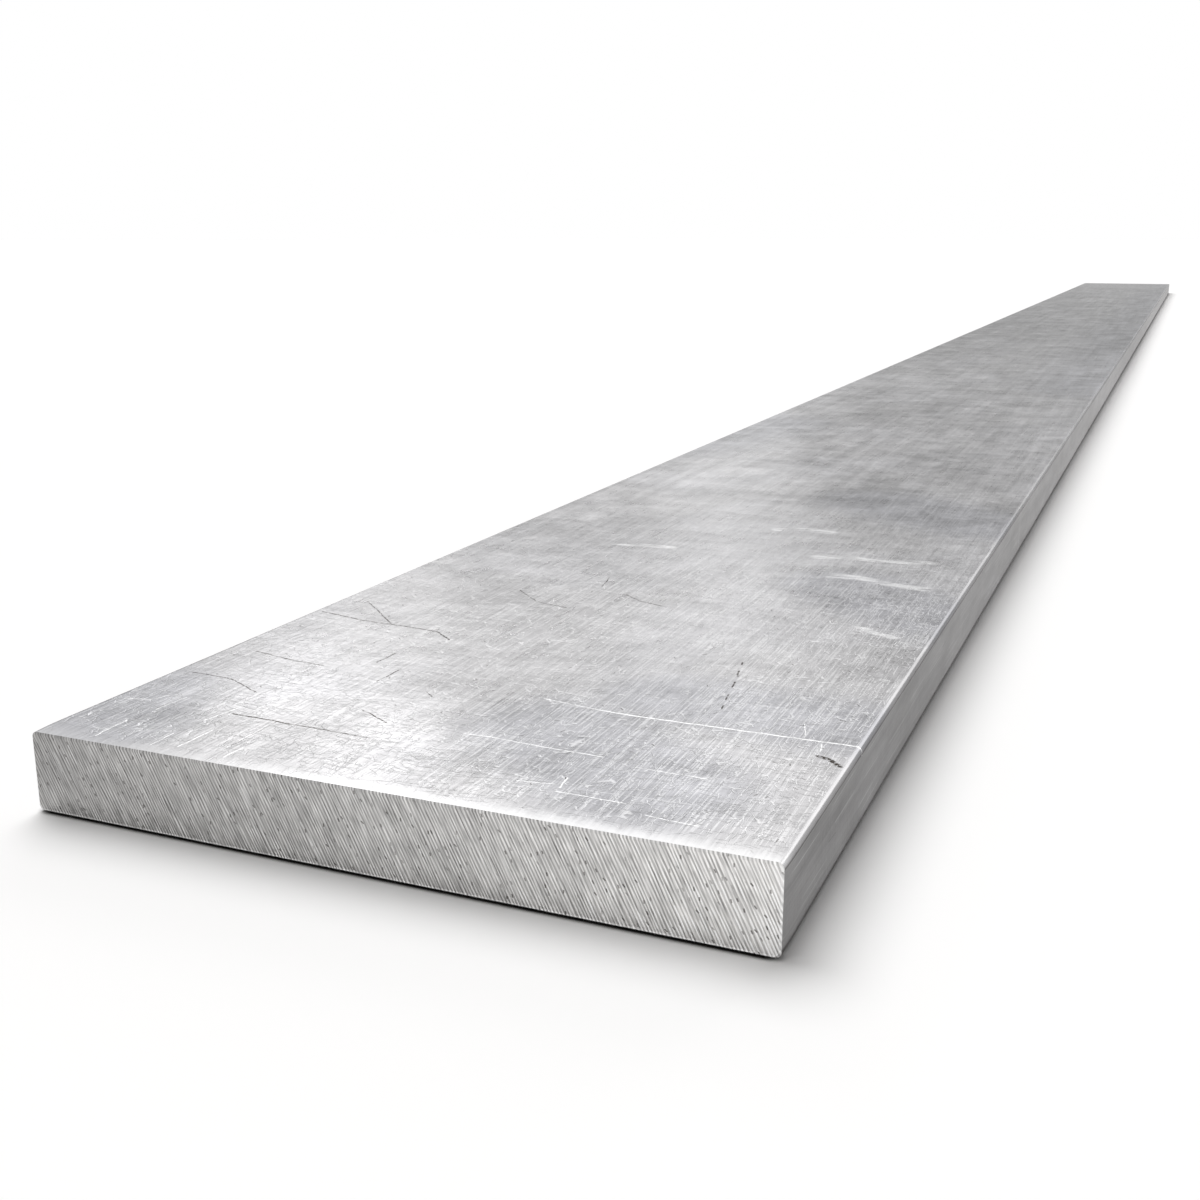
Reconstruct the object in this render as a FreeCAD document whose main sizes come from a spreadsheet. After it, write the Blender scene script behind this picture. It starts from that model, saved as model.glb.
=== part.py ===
"""Extruded aluminium flat bar, cut to length with a saw: one solid piece of stock.

The bar lies flat on its underside. Its length runs along Y and its width along X, and +Z is up.
The origin is the centre of the underside. The section is a rectangle whose four corners are
rounded by the extrusion die. Both ends are square saw cuts whose sharp rim has been broken with
a file, so that a narrow bevel runs right round each end face. Lengths are in millimetres.
"""

import FreeCAD, Part
import Sketcher

import math
import os

PARTS_FOLDER = "parts"
NODE = "flat_bar"

# The driving dimensions. Each is a cell of the spreadsheet: alias, millimetres, what it measures.
DRIVING_DIMENSIONS = [
    ("bar_length", 1600.0, "length over the two saw cuts"),
    ("bar_width", 90.0, "width of the section"),
    ("bar_thickness", 10.0, "thickness of the section"),
    ("corner_radius", 0.7, "radius that the die leaves on the four long corners"),
    ("end_bevel", 0.2, "setback of the filed bevel round each saw cut"),
]

# How a sketch names the two ends of an edge, its own axes and its origin, where the axes start.
START, END = 1, 2
AXIS_ACROSS, AXIS_UP = -1, -2
ORIGIN_POINT = (AXIS_ACROSS, START)

QUARTER_TURN = math.pi / 2

# Two lengths that differ by less than this are the same length, in millimetres.
SAME_LENGTH = 1e-6


def make_dimensions(doc):
    """The sheet of driving dimensions, with the name, value and note in columns A, B and C."""
    sheet = doc.addObject("Spreadsheet::Sheet", "Dimensions")
    for row, (alias, value, note) in enumerate(DRIVING_DIMENSIONS, start=1):
        sheet.set(f"A{row}", alias)
        sheet.set(f"B{row}", str(value))
        sheet.setAlias(f"B{row}", alias)
        sheet.set(f"C{row}", note)
    doc.recompute()
    return sheet


def origin_plane(body, role):
    """One of the body's own origin planes, such as XZ_Plane."""
    return next(plane for plane in body.Origin.OriginFeatures if plane.Role == role)


def draw_section(body, sheet):
    """The rounded rectangle across the bar, whose underside lies on the sketch's axis across.

    Four straight sides are joined by four equal arcs that meet them without a kink. The width,
    the thickness and the radius are named constraints, each bound to its cell.
    """
    section = body.newObject("Sketcher::SketchObject", "Section")
    section.AttachmentSupport = (origin_plane(body, "XZ_Plane"), "")
    section.MapMode = "FlatFace"

    # The sides and arcs are drawn in place, going round from the underside's left end.
    radius = sheet.corner_radius
    right = sheet.bar_width / 2
    left = -right
    top = sheet.bar_thickness
    underside = 0.0
    side_ends = [
        ((left + radius, underside), (right - radius, underside)),
        ((right, underside + radius), (right, top - radius)),
        ((right - radius, top), (left + radius, top)),
        ((left, top - radius), (left, underside + radius)),
    ]
    arc_centres = [
        (right - radius, underside + radius),
        (right - radius, top - radius),
        (left + radius, top - radius),
        (left + radius, underside + radius),
    ]
    sides, corners = [], []
    for turn, (ends, centre) in enumerate(zip(side_ends, arc_centres)):
        side = Part.LineSegment(*(FreeCAD.Vector(x, y, 0) for x, y in ends))
        circle = Part.Circle(FreeCAD.Vector(*centre, 0), FreeCAD.Vector(0, 0, 1), radius)
        arc_start = (turn - 1) * QUARTER_TURN
        arc = Part.ArcOfCircle(circle, arc_start, arc_start + QUARTER_TURN)
        sides.append(section.addGeometry(side, False))
        corners.append(section.addGeometry(arc, False))

    under_side, right_side, top_side, left_side = sides
    rules = []
    for turn in range(4):
        rules.append(("Tangent", sides[turn], END, corners[turn], START))
        rules.append(("Tangent", corners[turn], END, sides[(turn + 1) % 4], START))
    rules += [("Equal", corners[0], corner) for corner in corners[1:]]
    rules += [
        ("Vertical", right_side),
        ("Horizontal", top_side),
        ("Vertical", left_side),
        ("PointOnObject", under_side, START, AXIS_ACROSS),
        ("Symmetric", under_side, START, under_side, END, AXIS_UP),
    ]
    for rule in rules:
        section.addConstraint(Sketcher.Constraint(*rule))

    sizes = {
        "radius": ("Radius", corners[0], radius),
        "half_width": ("DistanceX", *ORIGIN_POINT, right_side, START, right),
        "thickness": ("DistanceY", *ORIGIN_POINT, top_side, START, top),
    }
    formulas = {
        "radius": "Dimensions.corner_radius",
        "half_width": "Dimensions.bar_width / 2",
        "thickness": "Dimensions.bar_thickness",
    }
    for name, size in sizes.items():
        index = section.addConstraint(Sketcher.Constraint(*size))
        section.renameConstraint(index, name)
        section.setExpression(f"Constraints.{name}", formulas[name])
    return section


def extrude(body, section):
    """The stock, run out by half its length to each side of the section."""
    stock = body.newObject("PartDesign::Pad", "Stock")
    stock.Profile = section
    stock.SideType = "Symmetric"
    stock.setExpression("Length", "Dimensions.bar_length")
    return stock


def saw_cut_rims(stock, sheet):
    """Names of the edges that bound the two end faces: those that lie wholly on a cut."""
    half_length = sheet.bar_length / 2

    def on_a_cut(edge):
        places = [vertex.Y for vertex in edge.Vertexes] + [edge.CenterOfMass.y]
        return all(abs(abs(y) - half_length) < SAME_LENGTH for y in places)

    edges = enumerate(stock.Shape.Edges, start=1)
    return [f"Edge{number}" for number, edge in edges if on_a_cut(edge)]


def file_the_rims(body, stock, sheet):
    """The bevel that takes the sharp edge off both saw cuts."""
    bevel = body.newObject("PartDesign::Chamfer", "FiledRims")
    bevel.Base = (stock, saw_cut_rims(stock, sheet))
    bevel.setExpression("Size", "Dimensions.end_bevel")
    return bevel


def make_flat_bar(doc, sheet):
    """The bar as a body: its section, the extruded stock and the filed rims of its cut ends."""
    body = doc.addObject("PartDesign::Body", "FlatBar")
    body.Label = NODE
    doc.recompute()
    section = draw_section(body, sheet)
    doc.recompute()
    stock = extrude(body, section)
    doc.recompute()
    file_the_rims(body, stock, sheet)
    doc.recompute()
    return body


def check_objects(doc):
    """Stops if the document holds an object that did not build."""
    for item in doc.Objects:
        failed = {"Invalid", "Error"} & set(item.State)
        if failed:
            raise RuntimeError(f"{item.Label} did not build: {sorted(failed)}")


def check_solid(body):
    """Stops unless the body is one valid, closed solid."""
    shape = body.Shape
    if shape.isNull() or not shape.isValid():
        raise RuntimeError(f"{body.Label} has no valid shape")
    if len(shape.Solids) != 1 or not shape.Solids[0].isClosed():
        raise RuntimeError(f"{body.Label} is not one closed solid")


def main():
    doc = FreeCAD.newDocument("flat_bar_model")
    sheet = make_dimensions(doc)
    bar = make_flat_bar(doc, sheet)
    check_objects(doc)
    check_solid(bar)
    os.makedirs(PARTS_FOLDER, exist_ok=True)
    bar.Shape.exportStep(os.path.join(PARTS_FOLDER, f"{bar.Label}.step"))
    box = bar.Shape.BoundBox
    print(f"{bar.Label}: {box.XLength:.3f} x {box.YLength:.3f} x {box.ZLength:.3f} mm")
    print(f"  volume {bar.Shape.Volume / 1000:.3f} cm3, faces {len(bar.Shape.Faces)}")


main()
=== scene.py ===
"""Looks of an extruded aluminium flat bar that lies on a pale studio floor.

The bar is one closed surface worked out with numpy: a rounded section carried along the length, with
eased and filed rims and a grid of saw marks at each end. Lengths in this file are in metres, unless a
name ends in _mm. The length runs along Y, the width along X, and the floor is at Z = 0.
"""

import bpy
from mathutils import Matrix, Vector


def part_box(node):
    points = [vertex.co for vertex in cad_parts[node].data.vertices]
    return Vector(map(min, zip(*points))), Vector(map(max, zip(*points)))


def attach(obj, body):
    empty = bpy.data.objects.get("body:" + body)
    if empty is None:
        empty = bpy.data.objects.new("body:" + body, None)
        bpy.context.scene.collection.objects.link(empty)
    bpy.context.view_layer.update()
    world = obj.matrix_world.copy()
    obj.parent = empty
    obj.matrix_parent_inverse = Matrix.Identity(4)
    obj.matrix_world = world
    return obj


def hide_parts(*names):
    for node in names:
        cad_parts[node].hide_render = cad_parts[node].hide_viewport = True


bl_info = {
    "name": "Aluminium Flat Bar",
    "version": (1, 0, 0),
    "blender": (4, 5, 0),
    "location": "3D View > Sidebar > Flat Bar",
    "description": "Builds a mill finish flat bar with sawn ends, and the studio it lies in",
    "category": "Add Mesh",
}

import math
from functools import partial

import bpy
import numpy as np
from bpy.props import FloatProperty, FloatVectorProperty, PointerProperty
from mathutils import Vector

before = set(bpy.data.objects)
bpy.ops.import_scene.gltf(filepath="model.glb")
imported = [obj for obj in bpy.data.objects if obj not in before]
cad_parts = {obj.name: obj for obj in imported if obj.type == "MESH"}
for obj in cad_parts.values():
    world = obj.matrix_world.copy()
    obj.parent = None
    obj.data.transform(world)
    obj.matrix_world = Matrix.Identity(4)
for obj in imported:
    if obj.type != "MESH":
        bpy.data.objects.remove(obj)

NODE = "flat_bar"
BODY = "root"

MM = 0.001

# The bar's own box gives its length, width and thickness.
BAR_LOW, BAR_HIGH = (np.array(corner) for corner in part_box(NODE))
BAR_WIDTH, BAR_LENGTH, BAR_THICKNESS = (float(side) for side in BAR_HIGH - BAR_LOW)
NEAR_CUT, FAR_CUT = -1, 1

# The saw's teeth ran down to the right, at this many degrees from level.
SAW_LEAN = 64
# How far apart the ridges that they left are. The finest real ones are closer, and these are drawn as
# coarse as they need to be to show.
RIDGE_PITCH_MM = 0.37

# Cells of the mesh. A side of the section runs from the middle of one corner to the middle of the
# next, so it has half an arc, a flat and half an arc. All counts are even, because the bar's long
# faces use every second point of the ends.
ARC_CELLS = 6
GROOVE_CELLS = 4
WIDTH_CELLS = 500
THICKNESS_CELLS = 36
GROOVE_WIDTH = 0.3 * MM
DIE_LINE_WIDTH = 1.3 * MM
# Rings of the long faces, counted from a cut to the middle of the bar.
HALF_RINGS = 28
# Edges where the surface turns by more degrees than this stay sharp.
SHARP_ANGLE = 32

# The bar's own map, from 0 to 1 both ways. The two cuts lie along its top, and below them lie the
# bar's two halves side by side, each with a margin on its left and at its foot.
CUT_SIZE_ON_MAP = (0.98, 0.07)
NEAR_CUT_V, FAR_CUT_V = 0.845, 0.925
HALF_SIZE_ON_MAP = (0.48, 0.82)
MARGIN_ON_MAP = (0.01, 0.005)

# The camera's place, in bar widths from the foot of the near cut's middle, and how many degrees it
# looks down and to the left.
CAMERA_PLACE = (0.8279, -1.2641, 0.7305)
CAMERA_DIP, CAMERA_TURN = 14.848, 22.831
FLOOR_SIDES = 96


def linear_colour(hex_code):
    """An sRGB hex colour such as A8A9AC as linear red, green and blue.

    A share up to 0.04045 is divided by 12.92. Above that it is raised to 2.4, after 0.055 is added
    and the sum divided by 1.055.
    """
    shares = [int(hex_code[i : i + 2], 16) / 255 for i in (0, 2, 4)]
    return tuple(s / 12.92 if s <= 0.04045 else ((s + 0.055) / 1.055) ** 2.4 for s in shares)


# ---- settings ----


def length_setting(name, description, default_mm, most_mm):
    """A length property of a few millimetres at most."""
    return FloatProperty(
        name=name,
        description=description,
        default=default_mm * MM,
        min=0.0,
        max=most_mm * MM,
        precision=5,
        unit="LENGTH",
    )


def colour_setting(name, description, hex_code):
    """A colour property, with its default as sRGB hex."""
    return FloatVectorProperty(
        name=name,
        description=description,
        subtype="COLOR",
        size=3,
        default=linear_colour(hex_code),
        min=0.0,
        max=1.0,
    )


class FlatBarSettings(bpy.types.PropertyGroup):
    """Sizes and colours of the bar that a user would change."""

    corner_radius: length_setting(
        "Corner radius", "Radius that the extrusion die leaves on the four long corners", 0.7, 3.0
    )
    end_bevel: length_setting("End bevel", "Setback of the filed bevel round each cut", 0.2, 0.6)
    eased_depth: length_setting(
        "Eased depth", "How far the faces fall away as they near a saw cut", 0.1, 0.3
    )
    eased_length: length_setting(
        "Eased length", "How far from a saw cut the faces start to fall away", 4.5, 20.0
    )
    saw_mark_depth: length_setting(
        "Saw mark depth", "How deep the saw's teeth scored the ends", 0.04, 0.1
    )
    die_line_depth: length_setting(
        "Die line depth", "How deep the die's bearing scored the long faces", 0.012, 0.05
    )
    groove_depth: length_setting(
        "Groove depth", "How deep the die's corners scored the narrow faces", 0.03, 0.1
    )
    mill_colour: colour_setting("Mill finish", "Colour of the extruded faces", "B4B3B4")
    oxide_colour: colour_setting(
        "Oxide", "Colour of the extruded faces where their grey oxide is thicker", "AEAEB2"
    )
    sawn_colour: colour_setting("Sawn metal", "Colour of the bare metal on the cuts", "B0AFAE")
    # The scratch colour also paints the highlights on the cuts' rims and along the top's near rim.
    scratch_and_highlight_colour: colour_setting("Scratches", "Colour of freshly scratched metal", "F2F2F2")
    # The grime colour also paints shade in the grooves beside the corners, and darkens the cuts' top
    # and left rims.
    grime_and_shade_colour: colour_setting("Grime", "Colour of the dirt in pits and cracks", "39332E")


class FlatBarStudioSettings(bpy.types.PropertyGroup):
    """Sizes and colours of the studio that a user would change."""

    floor_colour: colour_setting("Floor", "Colour of the paper that the bar lies on", "FDFDFD")
    fill_colour: colour_setting("Fill light", "Colour of the even light from all round", "FFFCFA")
    floor_radius: FloatProperty(
        name="Floor radius",
        description="Radius of the round floor",
        default=12.0,
        min=1.0,
        unit="LENGTH",
    )
    # The contact line is a painted contact shadow, not a colour of the paper.
    contact_shadow_colour: colour_setting(
        "Contact line", "Colour of the paper where the bar touches it", "302F2D"
    )
    contact_shadow_reach: FloatProperty(
        name="Contact reach",
        description="How far the dark line where the bar meets the floor reaches",
        default=1.0 * MM,
        min=0.0,
        unit="LENGTH",
    )
    fill_strength: FloatProperty(
        name="Fill light",
        description="Strength of the even light from all round, where 1 is white",
        default=0.23,
        min=0.0,
    )
    lens: FloatProperty(
        name="Lens",
        description="Focal length of the camera",
        default=41.58,
        min=10.0,
        unit="CAMERA",
    )


# ---- mesh of the bar ----


def smooth_step(value):
    """0 up to 0 and 1 from 1, with 3 t squared less 2 t cubed between."""
    t = np.clip(value, 0, 1)
    return t * t * (3 - 2 * t)


def smooth_noise(first, second, seed):
    """Random heights from 0 to 1 on a square lattice, joined by smooth steps both ways."""
    size = 512
    heights = np.random.default_rng(seed).uniform(0, 1, (size, size))
    row, column = np.floor(first).astype(int), np.floor(second).astype(int)
    down, right = smooth_step(first - row), smooth_step(second - column)
    near, far = (
        heights[line % size, column % size] * (1 - right)
        + heights[line % size, (column + 1) % size] * right
        for line in (row, row + 1)
    )
    return near * (1 - down) + far * down


def section_side(flat_half, radius, cells, die_line_depth, groove_depth, seed):
    """One side of the rounded section: distance along the side, and how far it lies below the flat.

    The side goes from the middle of one corner's arc, over the flat, to the middle of the next. On an
    arc at angle a from the flat's normal it is flat_half + radius sin a along, and radius (1 - cos a)
    below. Die lines are noise over the flat, and fade out over 1 mm at its ends. A groove of two
    straight walls runs beside each arc.
    """
    angle = np.linspace(math.pi / 4, 0, ARC_CELLS + 1)[:-1]
    arc_along = flat_half + radius * np.sin(angle)
    arc_fall = radius * (1 - np.cos(angle))
    inner = flat_half - GROOVE_WIDTH
    groove = inner + GROOVE_WIDTH * np.arange(1, GROOVE_CELLS + 1) / GROOVE_CELLS
    flat_along = np.concatenate([-groove[::-1], np.linspace(-inner, inner, cells + 1), groove])
    from_end = flat_half - np.abs(flat_along)
    die_lines = smooth_noise(flat_along / DIE_LINE_WIDTH, 0 * flat_along, seed)
    die_lines *= smooth_step(from_end / (1 * MM))
    groove_fall = np.clip(1 - np.abs(2 * from_end / GROOVE_WIDTH - 1), 0, 1)
    along = np.concatenate([-arc_along, flat_along, arc_along[::-1]])
    flat_fall = die_line_depth * die_lines + groove_depth * groove_fall
    fall = np.concatenate([arc_fall, flat_fall, arc_fall[::-1]])
    return along, fall


def section_sides(inset, settings):
    """The four sides of the section, set in by inset: x and z of bottom, top, left and right.

    The corners keep their radius where the section is set in.
    """
    corner, depth = settings.corner_radius, settings.die_line_depth
    half = np.array([BAR_WIDTH, BAR_THICKNESS]) / 2 - inset
    cells, grooves = (WIDTH_CELLS, THICKNESS_CELLS), (0.0, settings.groove_depth)
    sides = []
    for seed, (axis, sign) in enumerate(((0, -1), (0, 1), (1, -1), (1, 1)), start=1):
        flat_half = half[axis] - corner
        along, fall = section_side(flat_half, corner, cells[axis], depth, grooves[axis], seed)
        side = np.stack([along, sign * (half[1 - axis] - fall)], 1)
        sides.append((side if axis == 0 else side[:, ::-1]) + (0, BAR_THICKNESS / 2))
    return sides


def section_grid(inset, settings):
    """The section filled with a grid of points, as an array of rows up by columns across.

    A Coons patch: the blend of the left and right sides, plus the blend of the bottom and top sides,
    less the blend of the four corners that both of them hold.
    """
    bottom, top, left, right = section_sides(inset, settings)
    across = ((bottom[:, 0] - bottom[0, 0]) / np.ptp(bottom[:, 0]))[None, :, None]
    up = ((left[:, 1] - left[0, 1]) / np.ptp(left[:, 1]))[:, None, None]
    sideways = (1 - across) * left[:, None] + across * right[:, None]
    upwards = (1 - up) * bottom[None] + up * top[None]
    corners = (1 - up) * ((1 - across) * bottom[0] + across * bottom[-1])
    corners = corners + up * ((1 - across) * top[0] + across * top[-1])
    return sideways + upwards - corners


def rim_of(grid):
    """The border of a grid of rows by columns, once round: along the bottom, up, back and down."""
    return np.concatenate([grid[0, :-1], grid[:-1, -1], grid[-1, :0:-1], grid[:0:-1, 0]])


def saw_marks(x_mm, z_mm, seed):
    """Height of a saw cut's marks, from 0 to 1, at x across and z up.

    The teeth ran down to the right, in slight arcs. A mark's height is noise that changes every
    0.45 mm and every 0.3 mm square to that, and every few mm along it.
    """
    lean = math.radians(SAW_LEAN)
    across = x_mm * math.sin(lean) + z_mm * math.cos(lean)
    along = z_mm * math.sin(lean) - x_mm * math.cos(lean)
    across = across + 0.006 * z_mm * z_mm + 0.3 * smooth_noise(across / 4, along / 9, seed)
    coarse = smooth_noise(across / 0.45, along / 4, seed + 1)
    fine = smooth_noise(across / 0.3, along / 2.5, seed + 2)
    return 0.6 * coarse + 0.4 * fine


def eased_inset(from_cut, settings):
    """How far the section is set in, at a distance from the cut: depth (1 - distance / length)^2."""
    rest = max(0.0, 1 - from_cut / settings.eased_length)
    return settings.eased_depth * rest * rest


def cut_grid(sign, settings):
    """The sawn face at the near cut or at the far cut, the height of its saw marks, and its rim mask.

    The marks are cut in from the end's plane. Where the teeth came out, at the bottom and on the
    right, a burr stands up to that plane. There the rim mask is 1 on the rim and falls to 0 over two
    cells, and it paints a highlight. At the top and on the left it is -1 on the rim instead, and it
    darkens the colour there.
    """
    section = section_grid(eased_inset(0.0, settings) + settings.end_bevel, settings)
    x_mm, z_mm = section[..., 0] / MM, section[..., 1] / MM
    marks = saw_marks(-sign * x_mm, z_mm, 10 if sign == NEAR_CUT else 30)
    rows, columns = marks.shape
    row, column = np.arange(rows)[:, None], np.arange(columns)[None, ::sign]
    came_out = 1 - smooth_step(np.minimum(row, column) / 2)
    went_in = 1 - smooth_step(np.minimum(row[::-1], column[:, ::-1]) / 2)
    rim_highlight_and_dark = came_out - went_in
    depth = settings.saw_mark_depth * (1 - came_out) * (1.3 - marks)
    y = sign * (BAR_LENGTH / 2 - depth)
    points = np.stack([section[..., 0], y, section[..., 1]], -1).reshape(-1, 3)
    return points, marks.ravel(), rim_highlight_and_dark


def corner_share(points, settings):
    """How far a point is on one of the rounded corners: 0 on a flat, and 1 from 20 degrees round it.

    The lesser of how far it lies across and up or down the corner's square, 3 times over, up to 1.
    """
    radius = settings.corner_radius
    from_middle = np.abs(points[:, [0, 2]] - (0, BAR_THICKNESS / 2))
    inner = np.array([BAR_WIDTH, BAR_THICKNESS]) / 2 - radius
    return smooth_step(3 * np.min((from_middle - inner) / radius, axis=1))


def ring_points(section, y):
    """The points of a section at one place along the bar."""
    return np.stack([section[:, 0], np.full(len(section), y), section[:, 1]], 1)


def quads_between(near_ring, far_ring):
    """Four-cornered faces between two rings of the same number of points, facing out."""
    near_next, far_next = np.roll(near_ring, -1), np.roll(far_ring, -1)
    return np.stack([near_ring, far_ring, far_next, near_next], 1)


def fives_between(dense, sparse, reverse):
    """Five-cornered faces from a ring to one that has every second point of it, facing out.

    They are reversed where the dense ring is the far one.
    """
    faces = np.stack([sparse, np.roll(sparse, -1), np.roll(dense, -2)[::2], dense[1::2], dense[::2]], 1)
    return faces[:, ::-1] if reverse else faces


def bar_surface(settings):
    """Points, faces of four and of five corners, how many faces are sawn, and the points' attributes.

    Rings follow each other along Y: the near cut's grid, the outer rim of its bevel, the rings of the
    long faces with every second point, the outer rim at the far cut, and the far cut's grid.
    """
    half_length = BAR_LENGTH / 2
    bevel = settings.end_bevel
    outer = rim_of(section_grid(eased_inset(bevel, settings), settings))
    near_half = []
    # The rings' distances from their cut each grow by one factor, up to half the bar.
    for distance in np.geomspace(2.5 * bevel, half_length, HALF_RINGS):
        section = rim_of(section_grid(eased_inset(distance, settings), settings))[::2]
        near_half.append(ring_points(section, distance - half_length))
    far_half = [ring * (1, -1, 1) for ring in near_half[-2::-1]]
    near_points, near_marks, near_rim_highlight = cut_grid(NEAR_CUT, settings)
    far_points, far_marks, far_rim_highlight = cut_grid(FAR_CUT, settings)
    blocks = [
        near_points,
        ring_points(outer, bevel - half_length),
        *near_half,
        *far_half,
        ring_points(outer, half_length - bevel),
        far_points,
    ]
    starts = np.cumsum([0] + [len(block) for block in blocks])
    rings = [start + np.arange(len(block)) for start, block in zip(starts, blocks)]

    columns = WIDTH_CELLS + 1 + 2 * (ARC_CELLS + GROOVE_CELLS)
    near, far = rings[0].reshape(-1, columns), rings[-1].reshape(-1, columns)
    near_cut = np.stack([near[:-1, :-1], near[:-1, 1:], near[1:, 1:], near[1:, :-1]], -1)
    far_cut = np.stack([far[:-1, :-1], far[1:, :-1], far[1:, 1:], far[:-1, 1:]], -1)
    bare = [
        near_cut.reshape(-1, 4),
        far_cut.reshape(-1, 4),
        quads_between(rim_of(near), rings[1]),
        quads_between(rings[-2], rim_of(far)),
    ]
    long_faces = [quads_between(a, b) for a, b in zip(rings[2:-3], rings[3:-2])]
    fives = [fives_between(rings[1], rings[2], False), fives_between(rings[-2], rings[-3], True)]

    between = starts[-2] - starts[1]
    marks = np.concatenate([near_marks, np.full(between, 0.5), far_marks])
    no_rim_highlight = np.zeros(between - 2 * len(outer))
    rims = (rim_of(near_rim_highlight), no_rim_highlight, rim_of(far_rim_highlight))
    rim_highlight_and_dark = np.concatenate([near_rim_highlight.ravel(), *rims, far_rim_highlight.ravel()])
    sawn_count = sum(len(part) for part in bare)
    points = np.concatenate(blocks)
    shares = {"saw_mark": marks, "rim_highlight_and_dark": rim_highlight_and_dark, "corner": corner_share(points, settings)}
    return points, np.concatenate(bare + long_faces), np.concatenate(fives), sawn_count, shares


def mesh_from_arrays(name, points, corners, counts):
    """A mesh set from whole arrays: its points, its faces' corners, and how many each face has."""
    mesh = bpy.data.meshes.new(name)
    mesh.vertices.add(len(points))
    mesh.vertices.foreach_set("co", points.astype(np.float32).ravel())
    mesh.loops.add(len(corners))
    mesh.loops.foreach_set("vertex_index", corners.astype(np.int32))
    mesh.polygons.add(len(counts))
    mesh.polygons.foreach_set("loop_start", (np.cumsum(counts) - counts).astype(np.int32))
    mesh.update(calc_edges=True)
    mesh.validate()
    return mesh


def unwrapped(points, corners, counts, sawn_count):
    """The corners' places on the bar's map, u and v, with no two faces on one spot.

    On a cut, u follows x and v follows z. The long faces are slit at the lower left corner: once round
    the section, from bottom to right, top and left, u falls by a half's width, and v rises with y.
    """
    starts = np.cumsum(counts) - counts
    x, y, z = points[corners].T
    far = np.repeat(np.add.reduceat(y, starts) > 0, counts)
    end_u = 0.5 + CUT_SIZE_ON_MAP[0] * np.where(far, -x, x) / BAR_WIDTH
    end_v = np.where(far, FAR_CUT_V, NEAR_CUT_V) + CUT_SIZE_ON_MAP[1] * z / BAR_THICKNESS

    on_side = BAR_WIDTH / 2 - np.abs(x) < BAR_THICKNESS / 2 - np.abs(z - BAR_THICKNESS / 2)
    girth = 2 * (BAR_WIDTH + BAR_THICKNESS)
    low = z < BAR_THICKNESS / 2
    from_slit = np.where(low, x + BAR_WIDTH / 2, 1.5 * BAR_WIDTH + BAR_THICKNESS - x)
    from_slit = np.where(on_side, np.where(x > 0, BAR_WIDTH + z, girth - z), from_slit)
    turn = from_slit / girth
    # A face across the slit is kept whole.
    turn += np.repeat(np.maximum.reduceat(turn, starts), counts) - turn > 0.5
    long_u = MARGIN_ON_MAP[0] + 0.5 * far + HALF_SIZE_ON_MAP[0] * (1 - turn)
    from_start = (y + np.where(far, 0, BAR_LENGTH / 2)) / (BAR_LENGTH / 2)
    long_v = MARGIN_ON_MAP[1] + HALF_SIZE_ON_MAP[1] * from_start

    sawn = np.repeat(np.arange(len(counts)) < sawn_count, counts)
    return np.stack([np.where(sawn, end_u, long_u), np.where(sawn, end_v, long_v)], 1)


def new_object(name, data):
    """Put a new object into the scene."""
    added = bpy.data.objects.new(name, data)
    bpy.context.scene.collection.objects.link(added)
    return added


# ---- materials ----


def find_socket(sockets, name):
    """A socket by its number, or the one in use that has this name."""
    if isinstance(name, int):
        return sockets[name]
    return next(socket for socket in sockets if socket.enabled and socket.name == name)


def add_node(tree, kind, inputs=None, **settings):
    """A new shader node with its settings. An input is a value, a socket or another node."""
    node = tree.nodes.new("ShaderNode" + kind)
    for name, value in settings.items():
        setattr(node, name, value)
    for name, value in (inputs or {}).items():
        target = find_socket(node.inputs, name)
        if isinstance(value, bpy.types.Node):
            value = next(socket for socket in value.outputs if socket.enabled)
        if isinstance(value, bpy.types.NodeSocket):
            tree.links.new(value, target)
        else:
            target.default_value = value
    return node


def empty_tree(owner):
    """Give a material or a world a node tree with no nodes, and return what adds nodes to it."""
    owner.use_nodes = True
    owner.node_tree.nodes.clear()
    return partial(add_node, owner.node_tree)


# Settings of a Map Range node that passes smoothly from one end to the other.
SMOOTHLY = {"interpolation_type": "SMOOTHSTEP", "clamp": False}


def ramp(value, low, high, at_low=0.0, at_high=1.0):
    """Inputs of a Map Range node that gives at_low where value is low, and at_high where it is high."""
    return {"Value": value, "From Min": low, "From Max": high, "To Min": at_low, "To Max": at_high}


def product(add, *parts):
    """Masks and numbers multiplied together."""
    total = parts[0]
    for part in parts[1:]:
        total = add("Math", {0: total, 1: part}, operation="MULTIPLY")
    return total


def strongest(add, *masks):
    """The largest of several masks at each place."""
    total = masks[0]
    for mask in masks[1:]:
        total = add("Math", {0: total, 1: mask}, operation="MAXIMUM")
    return total


def weigh(add, start, *parts):
    """Start, plus each part's distance from its middle value 0.5 times its weight."""
    total = start - sum(0.5 * weight for part, weight in parts)
    for part, weight in parts:
        total = add("Math", {0: part, 1: weight, 2: total}, operation="MULTIPLY_ADD")
    return total


def shifted_cells(add, place, size_mm, seed):
    """Places counted in cells of size_mm, and moved by an amount that goes with the seed."""
    size = tuple(side * MM for side in size_mm)
    moved = {"Location": (0.37 * seed, 0.61 * seed, 0.23 * seed), "Scale": size}
    return add("Mapping", {"Vector": place, **moved}, vector_type="TEXTURE")


def grain(add, place, size_mm, seed=0, detail=2.0, roughness=0.5, distortion=0.0):
    """Soft random blotches from 0 to 1, as wide, long and high as size_mm."""
    spot = shifted_cells(add, place, size_mm, seed)
    look = {"Detail": detail, "Roughness": roughness, "Distortion": distortion}
    return add("TexNoise", {"Vector": spot, "Scale": 1.0, **look})


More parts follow.
